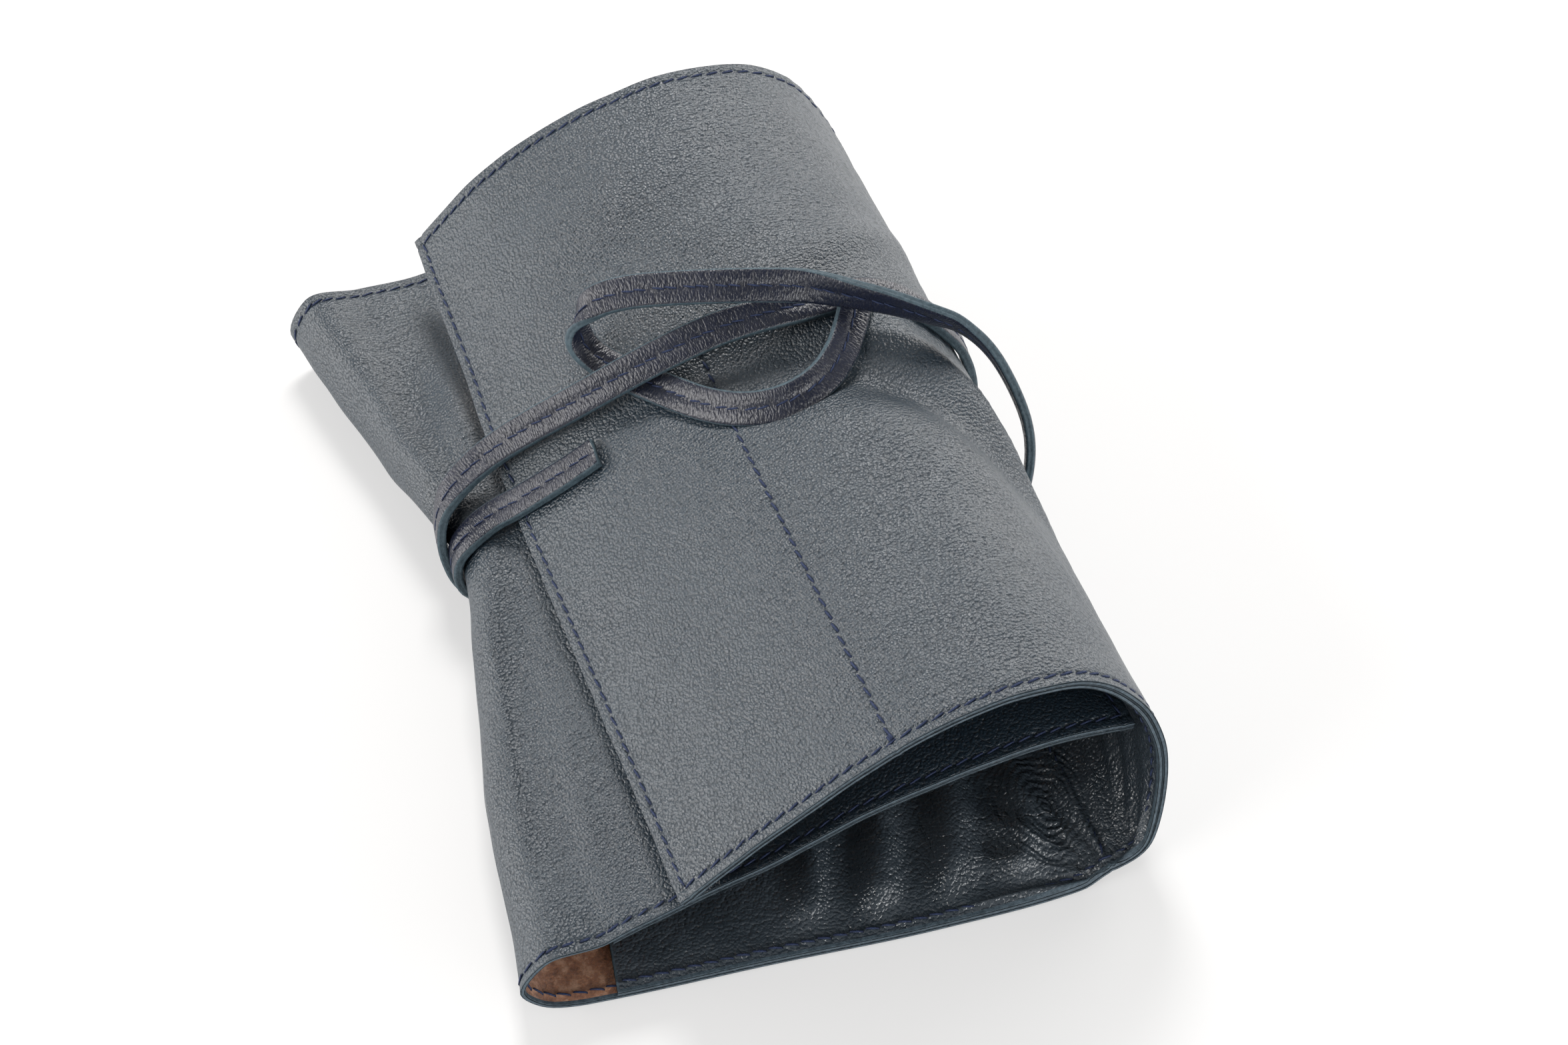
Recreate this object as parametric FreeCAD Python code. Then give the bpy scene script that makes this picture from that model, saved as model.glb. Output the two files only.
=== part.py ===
"""Leather pencil roll, rolled up and tied with its own strap. Millimetres, +Z up, +Y along the roll.

One long leather cover is wound into a loose spiral: the outer flap, the right side, the base on the
table, a tight fold on the left, and the inner leaf that lies on the pencils. Pocket leather is sewn
inside its near half. The strap is sewn to the flap's free edge and goes round the roll twice.

A point of the leather is given by s, the way along the spiral from the flap's free edge, and y, the
place across the leather from the near edge. lift is how far a point stands out of the outer face.
"""
import math
import os

import FreeCAD, Part

# --- leather ---------------------------------------------------------------------------------
SHEET_WIDTH = 205.0            # near edge to far edge: what pencils of 175 to 190 mm need
LEATHER = 1.2                  # thickness of one layer
LAYER_GAP = 0.1                # between the cover and the pocket leather
POCKET_TOP = -(LEATHER + LAYER_GAP)
POCKET_BOTTOM = POCKET_TOP - LEATHER
POCKET_DEPTH = 128.0           # near edge to the pockets' mouths
FLAP_DIVIDER, BASE_DIVIDER = 61.0, 183.0    # places of the seams between pockets, along the spiral

# --- cross-section of the outer face, (x, z), from the flap's free edge to the leaf's free edge ---
NEAR = [
    (32, 26), (56, 46), (82, 61), (108, 69), (128, 65), (142, 47), (146, 25), (141, 7),
    (124, -0.5), (90, -0.5), (50, -0.5), (12, -0.5), (-2, 3), (-6, 9), (0, 17), (16, 14),
    (31, 20), (57, 27), (76, 35), (100, 40), (122, 41), (141, 38),
]
WAIST = [
    (29, 28), (53, 45), (80, 57), (105, 63), (126, 61), (141, 46), (146, 25), (140.5, 7),
    (123, -0.5), (90, -0.5), (60, -0.5), (34, -0.5), (21, 1.5), (15, 8), (18, 19), (27, 22.5),
    (38, 26), (57, 31), (76, 35), (100, 38), (120, 39), (137, 36),
]
FAR = [
    (30, 33), (52, 53), (78, 66), (104, 69), (125, 63), (140, 46), (145.5, 25), (140.5, 7),
    (123, -0.5), (90, -0.5), (50, -0.5), (12, -0.5), (-1, 4), (-5, 11), (0, 21), (14, 19),
    (30, 17), (55, 24), (76, 32), (100, 37), (120, 38), (136, 36),
]
# the layers were rolled a little askew, so each place along the spiral is shifted along Y
SKEW = [0, 0, 0, 0, -0.5, -2, -6, -11, -13, -11.5, -7, -3, -1, 0, 1, 2, 3, 3, 3, 3, 3, 3]
# the base arches over the strap that passes under it; each place takes this share of the arch
ARCH_SHARE = [0, 0, 0, 0, 0, 0, 0, 0.4, 1, 1, 1, 1, 1, 0.8, 0.2, 0, 0, 0, 0, 0, 0, 0]
ARCH_HEIGHT = 6.5
ARCH_Y, ARCH_FLAT, ARCH_REACH = 112.0, 20.0, 42.0
WAIST_Y = 115.0                # where the strap draws the roll in
WAIST_ROUND = 12.0             # rounding of the waist along Y
WAIST_SPREAD = 0.8             # under 1 keeps the waist short

# Flat points of the base are given at -0.5, so that the whole base between them is under the table's
# surface, where it is cut off flat.
PRESSED = 0.15                 # how far under the table's surface the outer face may go

# --- places along the spiral --------------------------------------------------------------------
FLAP_HINGE, SHOULDER_HINGE, SIDE_HINGE = 104.0, 133.0, 178.0
FOLD = 324.0                   # middle of the tight fold, where the base ends and the leaf starts
BEND_GAP = 0.4                 # cut at each bend that moves
JOIN_GAP = 0.1                 # cut where two strips stay together
BASE_POCKET_END, LEAF_POCKET_START = 300.0, 352.0

# --- thread and strap ---------------------------------------------------------------------------
SEAM_INSET = 2.6
THREAD = 0.6
THREAD_LIFT = 0.4
CLEAR = 0.08
STRAP_WIDTH = 8.2
STRAP_THICK = 2.4
STRAP_CORE = 4.0               # diameter of the plain tube that stands for the flat strap
TAB_START, TAB_END = 1.5, 27.0
TAB_Y = 116.5
ROUTE = [
    (27, 117, 31.5), (20, 115.5, 28.5), (12.5, 112.5, 21), (10.5, 110, 10), (18, 109, 2.2),
    (34, 110.5, 2.2), (64, 113, 2.2), (102, 112.5, 2.2), (131, 115, 2.2), (146, 116, 5),
    (151, 117, 18), (150.5, 118, 36), (146, 119.5, 52), (134, 121.5, 64), (118, 125.5, 70),
    (101, 123, 71.5), (80, 123.5, 68), (58, 122.5, 60), (42, 126.5, 50), (30, 129.5, 40),
    (21, 126, 32), (13, 119, 27), (6.5, 112, 19), (5.5, 106, 8.5), (13, 102.5, 2.2),
    (28, 101, 2.2), (56, 99, 2.2), (94, 92.5, 2.2), (128, 88, 2.2), (146, 86.5, 4.5),
    (152.5, 85.5, 15), (156, 88, 27), (157, 93, 38), (152, 98.5, 51), (141, 106, 63),
    (127, 112, 71.5), (112, 119, 76.5), (100, 131, 75.5), (87, 140, 70.5), (73, 148.5, 65),
    (62, 151, 61), (55.5, 147, 57), (54, 139, 53), (57, 130, 52), (62, 118, 56),
    (69, 108, 60), (77, 97.5, 64), (89, 90.5, 68.5), (101, 93, 71), (110, 102, 70.5),
    (117, 112, 68.5),
]
ARC_SHARE = 0.45               # part of the shorter run that each arc takes

# --- frame: the origin goes under the middle of the roll, on the table ---------------------------
MIDDLE_X, MIDDLE_Y = 70.3, 97.5
STEP_S, STEP_Y = 4.0, 8.0      # spacing of the poles of each leather face
DEGREE = 3
SLOPE_STEP = 0.5


def knots():
    """Running length of the near section at each of its points."""
    lengths = [0.0]
    for a, b in zip(NEAR, NEAR[1:]):
        lengths.append(lengths[-1] + math.dist(a, b))
    return lengths


KNOTS = knots()
SPIRAL = KNOTS[-1]


def along(values, s):
    """A smooth line through values, one per knot, at s."""
    s = min(max(s, 0.0), SPIRAL)
    i = next(k for k in range(len(KNOTS) - 1) if s <= KNOTS[k + 1])
    slopes = [(values[k + 1] - values[k]) / (KNOTS[k + 1] - KNOTS[k]) for k in range(len(KNOTS) - 1)]

    def tangent(k):
        if k in (0, len(KNOTS) - 1):
            return slopes[0 if k == 0 else -1]
        before, after = KNOTS[k] - KNOTS[k - 1], KNOTS[k + 1] - KNOTS[k]
        return (after * slopes[k - 1] + before * slopes[k]) / (before + after)

    h = KNOTS[i + 1] - KNOTS[i]
    t = (s - KNOTS[i]) / h
    return (
        (2 * t**3 - 3 * t**2 + 1) * values[i]
        + (t**3 - 2 * t**2 + t) * h * tangent(i)
        + (3 * t**2 - 2 * t**3) * values[i + 1]
        + (t**3 - t**2) * h * tangent(i + 1)
    )


def station_weights(y):
    """How much the near, waist and far sections count at y."""

    def away(distance):
        return math.hypot(distance, WAIST_ROUND) - WAIST_ROUND

    reach = WAIST_Y if y < WAIST_Y else SHEET_WIDTH - WAIST_Y
    end = (away(y - WAIST_Y) / away(reach)) ** WAIST_SPREAD
    return (end, 1 - end, 0.0) if y < WAIST_Y else (0.0, 1 - end, end)


def arch(y):
    """How far the base stands off the table at y."""
    t = (ARCH_REACH - abs(y - ARCH_Y)) / (ARCH_REACH - ARCH_FLAT)
    t = min(max(t, 0.0), 1.0)
    return ARCH_HEIGHT * (3 * t**2 - 2 * t**3)


def outer_face(s, y):
    """Point of the cover's outer face."""
    weights = station_weights(y)
    x, z = (
        sum(w * along([p[axis] for p in section], s) for w, section in zip(weights, (NEAR, WAIST, FAR)))
        for axis in (0, 1)
    )
    z = max(z, -PRESSED) + arch(y) * along(ARCH_SHARE, s)
    return FreeCAD.Vector(x - MIDDLE_X, y + along(SKEW, s) - MIDDLE_Y, z)


def leather_point(s, y, lift):
    """Point that stands lift out of the outer face."""
    e = SLOPE_STEP
    across = outer_face(s + e, y) - outer_face(s - e, y)
    lengthwise = outer_face(s, y + e) - outer_face(s, y - e)
    normal = across.cross(lengthwise)
    normal.normalize()
    return outer_face(s, y) + normal * lift


def spaced(start, end, step):
    count = max(DEGREE, math.ceil((end - start) / step))
    return [start + (end - start) * k / count for k in range(count + 1)]


def even_knots(poles):
    """Knots and their multiplicities for a clamped spline with this many poles."""
    spans = poles - DEGREE
    return list(range(spans + 1)), [DEGREE + 1] + [1] * (spans - 1) + [DEGREE + 1]


def leather_face(s0, s1, y0, y1, lift):
    """Smooth surface over a strip of the spiral, pulled in by less than the leather's tolerance."""
    poles = [[leather_point(s, y, lift) for y in spaced(y0, y1, STEP_Y)] for s in spaced(s0, s1, STEP_S)]
    u_knots, u_mults = even_knots(len(poles))
    v_knots, v_mults = even_knots(len(poles[0]))
    surface = Part.BSplineSurface()
    surface.buildFromPolesMultsKnots(
        poles, u_mults, v_mults, u_knots, v_knots, False, False, DEGREE, DEGREE
    )
    return surface


def band(s0, s1, y0, y1, low, high):
    """Solid strip of the spiral, from lift low to lift high."""
    bottom, top = (leather_face(s0, s1, y0, y1, lift) for lift in (low, high))
    u0, u1, v0, v1 = bottom.bounds()
    rims = [
        (bottom.uIso(u0), top.uIso(u0)),
        (bottom.uIso(u1), top.uIso(u1)),
        (bottom.vIso(v0), top.vIso(v0)),
        (bottom.vIso(v1), top.vIso(v1)),
    ]
    sides = [Part.makeRuledSurface(inner.toShape(), outer.toShape()) for inner, outer in rims]
    shell = Part.makeShell([bottom.toShape(), top.toShape()] + sides)
    shell.sewShape()
    solid = Part.makeSolid(shell)
    if solid.Volume < 0:
        solid.reverse()
    return solid


def strips():
    """Each strip of the spiral: its name, where it starts and where it ends."""
    half, join = BEND_GAP / 2, JOIN_GAP / 2
    return [
        ("flap", 0.0, FLAP_HINGE - half),
        ("shoulder", FLAP_HINGE + half, SHOULDER_HINGE - half),
        ("side", SHOULDER_HINGE + half, SIDE_HINGE - half),
        ("base", SIDE_HINGE + half, FOLD - join),
        ("leaf", FOLD + join, SPIRAL),
    ]


def pressed_flat(solid):
    """The solid without what is below the table."""
    box = solid.BoundBox
    corner = FreeCAD.Vector(box.XMin - 1, box.YMin - 1, -2 * PRESSED)
    return solid.cut(Part.makeBox(box.XLength + 2, box.YLength + 2, 2 * PRESSED, corner)).Solids[0]


def cover_nodes():
    nodes = {f"cover_{name}": [band(s0, s1, 0, SHEET_WIDTH, -LEATHER, 0)] for name, s0, s1 in strips()}
    nodes["cover_base"] = [pressed_flat(solid) for solid in nodes["cover_base"]]
    return nodes


def pocket_nodes():
    """Pocket leather: one panel from the flap's edge to the fold, and one on the leaf."""
    nodes = {}
    for name, s0, s1 in strips():
        start = LEAF_POCKET_START if name == "leaf" else s0
        end = BASE_POCKET_END if name == "base" else s1
        nodes[f"pocket_{name}"] = [band(start, end, 0, POCKET_DEPTH, POCKET_BOTTOM, POCKET_TOP)]
    return nodes


def thread_lifts(strip, y):
    """Thread shows outside, except on the base, where it is drawn on the inner face."""
    if strip != "base":
        return CLEAR, CLEAR + THREAD_LIFT
    inner = POCKET_BOTTOM if y < POCKET_DEPTH else -LEATHER
    return inner - CLEAR - THREAD_LIFT, inner - CLEAR


def edge_seams():
    """Threads along the near and far edges, one to a strip, and along the two free edges."""
    nodes = {}
    for side, y in (("near", SEAM_INSET), ("far", SHEET_WIDTH - SEAM_INSET)):
        for name, s0, s1 in strips():
            start = SEAM_INSET + THREAD if name == "flap" else s0
            end = SPIRAL - SEAM_INSET - THREAD if name == "leaf" else s1
            low, high = thread_lifts(name, y)
            nodes[f"{side}_seam_{name}"] = [band(start, end, y - THREAD / 2, y + THREAD / 2, low, high)]
    low, high = thread_lifts("flap", 0)
    for name, s in (("flap_edge_seam", SEAM_INSET), ("leaf_edge_seam", SPIRAL - SEAM_INSET)):
        nodes[name] = [
            band(s - THREAD / 2, s + THREAD / 2, y0, y1, low, high)
            for y0, y1 in ((SEAM_INSET, TAB_Y - STRAP_WIDTH), (TAB_Y + STRAP_WIDTH, SHEET_WIDTH - SEAM_INSET))
        ]
    return nodes


def divider_seams():
    """Threads between the pockets, from the near seam to the pockets' mouths."""
    nodes = {}
    for name, s in (("flap", FLAP_DIVIDER), ("base", BASE_DIVIDER)):
        low, high = thread_lifts(name, 0)
        y0, y1 = SEAM_INSET + THREAD, POCKET_DEPTH - THREAD
        nodes[f"divider_seam_{name}"] = [band(s - THREAD / 2, s + THREAD / 2, y0, y1, low, high)]
    return nodes


def strap_tab():
    """The strap's sewn end, flat on the flap's edge."""
    y0, y1 = TAB_Y - STRAP_WIDTH / 2, TAB_Y + STRAP_WIDTH / 2
    return band(TAB_START, TAB_END, y0, y1, CLEAR, CLEAR + STRAP_THICK)


def strap_path():
    """Straight runs joined by tangent arcs. Returns the wire and the radii of its arcs."""
    points = [FreeCAD.Vector(x - MIDDLE_X, y - MIDDLE_Y, z) for x, y, z in ROUTE]
    edges, radii, start = [], [], points[0]
    for before, corner, after in zip(points, points[1:], points[2:]):
        back, ahead = (before - corner), (after - corner)
        reach = ARC_SHARE * min(back.Length, ahead.Length)
        back.normalize()
        ahead.normalize()
        half_turn = (math.pi - back.getAngle(ahead)) / 2
        radius = reach / math.tan(half_turn)
        middle = back + ahead
        middle.normalize()
        centre = corner + middle * (radius / math.cos(half_turn))
        enter, leave = corner + back * reach, corner + ahead * reach
        edges.append(Part.LineSegment(start, enter).toShape())
        edges.append(Part.Arc(enter, centre - middle * radius, leave).toShape())
        radii.append(radius)
        start = leave
    edges.append(Part.LineSegment(start, points[-1]).toShape())
    return Part.Wire(edges), radii


def strap():
    path, radii = strap_path()
    start, first = path.Edges[0].valueAt(path.Edges[0].FirstParameter), path.Edges[0].tangentAt(0)
    ring = Part.Wire([Part.makeCircle(STRAP_CORE / 2, start, first)])
    tube = path.makePipeShell([ring], True, False)
    expected = math.pi * (STRAP_CORE / 2) ** 2 * path.Length
    print(f"strap: length {path.Length:.0f}, volume {tube.Volume:.0f} of {expected:.0f}, valid {tube.isValid()}")
    print("strap radii:", " ".join(f"{r:.0f}" for r in radii))
    return tube


def main():
    os.makedirs("parts", exist_ok=True)
    nodes = {**cover_nodes(), **pocket_nodes(), **edge_seams(), **divider_seams()}
    nodes["strap_tab"] = [strap_tab()]
    nodes["strap"] = [strap()]
    for name, solids in nodes.items():
        shape = solids[0] if len(solids) == 1 else Part.makeCompound(solids)
        if not shape.isValid() or min(solid.Volume for solid in solids) <= 0:
            print("not a valid solid:", name)
        shape.exportStep(f"parts/{name}.step")


main()
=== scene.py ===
"""Leather pencil roll, tied with its strap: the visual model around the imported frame.

The leather is one surface, given by s, the way along the spiral from the flap's free edge, and y, the
place across the leather from the near edge, both in millimetres. Each piece is a part of that surface.
"""
import math

import bpy
import numpy as np
from mathutils import Matrix, Vector


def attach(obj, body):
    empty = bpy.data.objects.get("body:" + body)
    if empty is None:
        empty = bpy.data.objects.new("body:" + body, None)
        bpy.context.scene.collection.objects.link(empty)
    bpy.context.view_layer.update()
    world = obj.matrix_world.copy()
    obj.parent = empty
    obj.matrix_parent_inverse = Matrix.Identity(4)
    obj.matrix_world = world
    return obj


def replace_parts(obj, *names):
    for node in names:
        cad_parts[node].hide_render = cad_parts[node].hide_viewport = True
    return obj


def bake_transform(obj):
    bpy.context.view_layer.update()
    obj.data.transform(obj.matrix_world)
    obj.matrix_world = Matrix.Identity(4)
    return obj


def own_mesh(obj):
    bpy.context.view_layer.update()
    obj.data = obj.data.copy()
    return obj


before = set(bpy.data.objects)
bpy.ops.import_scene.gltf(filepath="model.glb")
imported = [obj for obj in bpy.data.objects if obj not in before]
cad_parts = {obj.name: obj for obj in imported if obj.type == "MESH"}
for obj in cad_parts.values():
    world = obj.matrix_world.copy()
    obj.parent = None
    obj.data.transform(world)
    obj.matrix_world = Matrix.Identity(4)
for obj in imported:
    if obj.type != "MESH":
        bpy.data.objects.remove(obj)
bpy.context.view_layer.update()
MM = 0.001

# --- the leather's shape, as in the CAD model; all lengths in millimetres --------------------------
SHEET_WIDTH = 205.0
LEATHER = 1.2
LAYER_GAP = 0.1
DYE_RUN = 0.7                  # how far the edge dye runs on to the inner face
POCKET_TOP = -(LEATHER + LAYER_GAP)
POCKET_BOTTOM = POCKET_TOP - LEATHER
POCKET_DEPTH = 128.0
NEAR = [
    (32, 26), (56, 46), (82, 61), (108, 69), (128, 65), (142, 47), (146, 25), (141, 7),
    (124, -0.5), (90, -0.5), (50, -0.5), (12, -0.5), (-2, 3), (-6, 9), (0, 17), (16, 14),
    (31, 20), (57, 27), (76, 35), (100, 40), (122, 41), (141, 38),
]
WAIST = [
    (29, 28), (53, 45), (80, 57), (105, 63), (126, 61), (141, 46), (146, 25), (140.5, 7),
    (123, -0.5), (90, -0.5), (60, -0.5), (34, -0.5), (21, 1.5), (15, 8), (18, 19), (27, 22.5),
    (38, 26), (57, 31), (76, 35), (100, 38), (120, 39), (137, 36),
]
FAR = [
    (30, 33), (52, 53), (78, 66), (104, 69), (125, 63), (140, 46), (145.5, 25), (140.5, 7),
    (123, -0.5), (90, -0.5), (50, -0.5), (12, -0.5), (-1, 4), (-5, 11), (0, 21), (14, 19),
    (30, 17), (55, 24), (76, 32), (100, 37), (120, 38), (136, 36),
]
SKEW = [0, 0, 0, 0, -0.5, -2, -6, -11, -13, -11.5, -7, -3, -1, 0, 1, 2, 3, 3, 3, 3, 3, 3]
ARCH_SHARE = [0, 0, 0, 0, 0, 0, 0, 0.4, 1, 1, 1, 1, 1, 0.8, 0.2, 0, 0, 0, 0, 0, 0, 0]
ARCH_HEIGHT = 6.5
ARCH_Y, ARCH_FLAT, ARCH_REACH = 112.0, 20.0, 42.0
WAIST_Y, WAIST_ROUND, WAIST_SPREAD = 115.0, 12.0, 0.8
MIDDLE = np.array([70.3, 97.5, 0.0])
TABLE_GAP = 0.02

# --- where the pieces of the leather meet, between the bends that move ------------------------------
FLAP_END, SHOULDER_END, SIDE_END = 118.0, 155.0, 205.0
FLAP_FLAT = 76.0               # a point of the flap's blend with the shoulder, as BLENDS lists it
BASE_POCKET_END, LEAF_POCKET_START = 300.0, 352.0
DIVIDERS = {"flap": 61.0, "side": 183.0}
DIVIDER_START = 0.8            # from the near seam
WHORL = (191.0, 22.0)          # where creases of the pocket leather run round, by the right-hand corner
WHORL_WAVE = 3700.0            # radians to the metre

# --- stitching ------------------------------------------------------------------------------------
SEAM_INSET = 2.6
STITCH_PITCH = 3.75
STITCH_LENGTH = 3.5
STITCH_RADIUS = 0.27
STRAP_STITCH_RADIUS = 0.21
STITCH_SLANT = 0.22            # sideways step of a stitch, as a lockstitch lies

# --- strap ----------------------------------------------------------------------------------------
STRAP_WIDTH = 8.2
STRAP_THICK = 2.4
ROUTE = [
    (50, 113.8, 44.6), (44.3, 114, 40.8), (39, 115, 36.7), (34.6, 116, 33.2), (30.3, 117, 29.7),
    (26, 118.6, 26.2), (21.8, 118.2, 24.4), (17.8, 117, 22.6), (13.9, 116.2, 19), (13, 115.2, 13),
    (14.6, 114.2, 8.2), (19.5, 113.2, 5.6), (25, 113.2, 4.6), (34, 113.2, 4.2), (64, 113, 3), (102, 112.5, 2),
    (131, 115, 2.2), (143.5, 116, 5.5), (147.5, 117, 18), (148, 118, 31), (144.5, 117.5, 43.5),
    (140, 118, 50.8), (135.7, 120, 55.6), (129.6, 122.3, 60.4), (122.4, 124.6, 63),
    (115, 124.6, 63.8), (107, 124, 64.4), (97.5, 124, 65.2), (89.8, 124.6, 64.4), (81.4, 125, 62.8),
    (72.1, 125, 60), (63.8, 125.4, 56.6), (52.3, 126.8, 50), (43.2, 129.4, 43.2), (33.4, 131.4, 36.2),
    (27.6, 132, 32), (22, 130.6, 29.4), (17, 128.4, 26.8), (13.6, 126, 23.6), (12, 123.8, 19.4),
    (11.8, 121.6, 14), (13.2, 119.2, 7.6), (18, 115.4, 2.4), (28, 108, 1.8), (56, 101, 1.8), (94, 92.5, 2),
    (128, 88, 2), (143, 86.5, 5), (149, 85.5, 15), (152, 88, 27), (152.5, 92, 37), (150, 97.5, 47),
    (146, 103, 56), (139.5, 106.5, 63.5), (131.8, 108, 68.6), (124, 113.5, 70), (115.4, 119.5, 70.3),
    (107.5, 124, 71), (99.7, 126.4, 71.6), (90.9, 129.1, 72), (83.4, 131.8, 71.6), (75.7, 135.2, 70.3),
    (68.4, 138.6, 68.6), (62.5, 140.8, 66.6), (57.8, 142, 63.8), (54.8, 141.3, 59.6), (54.6, 139.2, 54.6),
    (57.8, 135.4, 51.4), (62.2, 129.6, 51.2), (67, 123.2, 52.2), (71.2, 116.8, 54), (76.2, 109, 56.6),
    (82.9, 102.2, 59.6), (90.3, 98.8, 62.2), (97, 98.6, 64), (103.9, 102, 64.2), (109.8, 108, 63.6),
    (114, 114, 63.6), (117.4, 119.4, 64.6), (119, 122.6, 66),
]
# the way the strap's width points, at some places of the route
WIDTHS = {
    0: (0.1, 1, 0), 4: (0.1, 1, 0.1), 8: (0.1, 1, 0), 12: (0, 1, 0), 24: (0.1, 0.95, 0.1),
    26: (0, 0.9, 0.3), 29: (-0.1, 0.85, 0.48), 33: (-0.15, 0.87, 0.42), 36: (0.1, 0.95, 0.15),
    38: (0.2, 0.95, 0), 42: (0, 1, 0), 46: (0, 1, 0), 47: (-0.15, 0.55, 0.8), 48: (-0.25, -0.6, 0.75),
    53: (-0.2, -0.45, 0.85), 56: (0, 0.05, 1), 58: (0.15, 0.68, 0.70), 61: (0.15, 0.85, 0.5),
    64: (0.4, 0.65, 0.5), 66: (0.68, 0.65, 0.25), 67: (0.7, 0.7, 0.1), 69: (0.5, 0.7, 0.3),
    72: (0.2, 0.8, 0.55), 75: (-0.45, 0.62, 0.6), 78: (-0.85, 0.25, 0.4),
}


# ==================================================================================================
# The leather surface
# ==================================================================================================
GROOVE_WIDTH = 0.55            # of the leather drawn in by a seam
EDGE_SEAM_DEPTH, DIVIDER_DEPTH, DIVIDER_FADE = -0.30, -0.26, 1.5
SINES = 7
RIPPLES = [(0.40, 3, 55), (0.10, 4, 13)]  # (height, seed, wave) of the uneven waves all over the cover
SIDE_WRINKLES = (108, 18, 186, 12)        # along the right side: start, rise, end and fall
WRINKLE_HEIGHT, WRINKLE_WAVE = 0.11, 5.2
WRINKLE_LEAN, WRINKLE_SWAY, SWAY_LENGTH = 0.25, 1.5, 11
WRINKLES_FROM, WRINKLES_RISE = 8, 20      # away from the near edge
ON_TABLE = (185, 12, 322, 12)             # the stretch that the table holds flat
# hills and dents of the leather: (height, s, y, reach along, reach across, turn)
FOLDS = [
    (-5.2, 79, 111, 21, 13, -0.3),       # under the strap's loops
    (-1.5, 40, 121, 46, 8, 0.0),         # under the strap, by the tab
    (3.4, 121, 93, 25, 5.2, -1.01),      # ridge over the right shoulder
    (-3.4, 106, 91, 28, 6.0, -0.85),     # valley beside it
    (1.2, 94, 80, 22, 7.0, -0.80),
    (-0.8, 128, 60, 9, 24, 0.25),
    (0.9, 100, 30, 9, 34, 0.05),
    (-0.9, 83, 36, 9, 36, -0.05),
    (0.8, 62, 48, 10, 40, 0.05),
    (-0.7, 34, 60, 9, 34, 0.10),
    (1.5, 104, 143, 30, 6.0, 0.30),
    (-1.1, 62, 150, 26, 9.0, -0.35),
    (1.0, 60, 178, 34, 10, 0.12),
    (-0.8, 98, 172, 20, 12, 0.5),
    (3.0, 356, 150, 6, 17, -0.20),       # crumple of the leaf beside the strap
    (-2.2, 345, 158, 9, 15, -0.35),
    (1.8, 336, 146, 6, 13, 0.20),
    (-1.7, 184, 1, 5, 8, 0.0),           # the corner, drawn in by the end of the divider seam
    (0.7, 174, 3, 5, 9, 0.0),
    (-3.6, 341, 54, 9, 32, 0.0),         # the leaf slopes up from the fold to the flap
    (2.0, 330, 54, 9, 34, 0.0),
    (4.2, 352, 22, 10, 46, 0.05),        # the leaf lies straighter at its near end
]


def knots():
    """How far along the spiral each point of NEAR lies."""
    steps = np.diff(np.array(NEAR, float), axis=0)
    return np.concatenate([[0.0], np.cumsum(np.hypot(steps[:, 0], steps[:, 1]))])


KNOTS = knots()
SPIRAL = float(KNOTS[-1])


def along(values, s):
    """A smooth line through values, one per knot, at s. Values may be numbers or points."""
    v = np.array(values, float).reshape(len(KNOTS), -1)
    h = np.diff(KNOTS)
    slopes = np.diff(v, axis=0) / h[:, None]
    tangents = np.vstack([slopes[:1], slopes[:1].repeat(len(v) - 2, 0), slopes[-1:]])
    before, after = h[:-1, None], h[1:, None]
    tangents[1:-1] = (after * slopes[:-1] + before * slopes[1:]) / (before + after)
    s = np.clip(s, 0.0, SPIRAL)
    i = np.clip(np.searchsorted(KNOTS, s, side="right") - 1, 0, len(h) - 1)
    step = h[i][..., None]
    t = ((s - KNOTS[i]) / h[i])[..., None]
    found = (
        (2 * t**3 - 3 * t**2 + 1) * v[i]
        + (t**3 - 2 * t**2 + t) * step * tangents[i]
        + (3 * t**2 - 2 * t**3) * v[i + 1]
        + (t**3 - t**2) * step * tangents[i + 1]
    )
    return found if v.shape[1] > 1 else found[..., 0]


def smooth(t):
    """An even step from 0 to 1."""
    t = np.clip(t, 0.0, 1.0)
    return t * t * (3 - 2 * t)


def between(x, start, rise, end, fall):
    """1 between start and end and 0 outside them, with flanks rise and fall long."""
    return smooth((x - start) / rise) * smooth((end - x) / fall)


def station_weights(y):
    """The shares of NEAR, WAIST and FAR in the spiral at y."""
    away = np.hypot(y - WAIST_Y, WAIST_ROUND) - WAIST_ROUND
    reach = np.where(y < WAIST_Y, WAIST_Y, SHEET_WIDTH - WAIST_Y)
    end = (away / (np.hypot(reach, WAIST_ROUND) - WAIST_ROUND)) ** WAIST_SPREAD
    return np.where(y < WAIST_Y, end, 0.0), 1 - end, np.where(y < WAIST_Y, 0.0, end)


def plain_face(s, y):
    """The outer face as in the CAD model, without creases."""
    near, waist, far = station_weights(y)
    xz = (
        along(NEAR, s) * near[..., None]
        + along(WAIST, s) * waist[..., None]
        + along(FAR, s) * far[..., None]
    )
    arch = ARCH_HEIGHT * smooth((ARCH_REACH - np.abs(y - ARCH_Y)) / (ARCH_REACH - ARCH_FLAT))
    z = np.maximum(xz[..., 1], 0.0) + arch * along(ARCH_SHARE, s)
    return np.stack([xz[..., 0], y + along(SKEW, s), z], axis=-1) - MIDDLE


def spot(s, y, s0, y0, reach_s, reach_y, turn):
    """A round hill of height 1 at (s0, y0), longer along an axis turned by turn radians."""
    c, n = math.cos(turn), math.sin(turn)
    a = ((s - s0) * c + (y - y0) * n) / reach_s
    b = (-(s - s0) * n + (y - y0) * c) / reach_y
    return np.exp(-(a**2) - b**2)


def groove(distance):
    """1 on a line and 0 away from it."""
    return np.exp(-((distance / GROOVE_WIDTH) ** 2))


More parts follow.
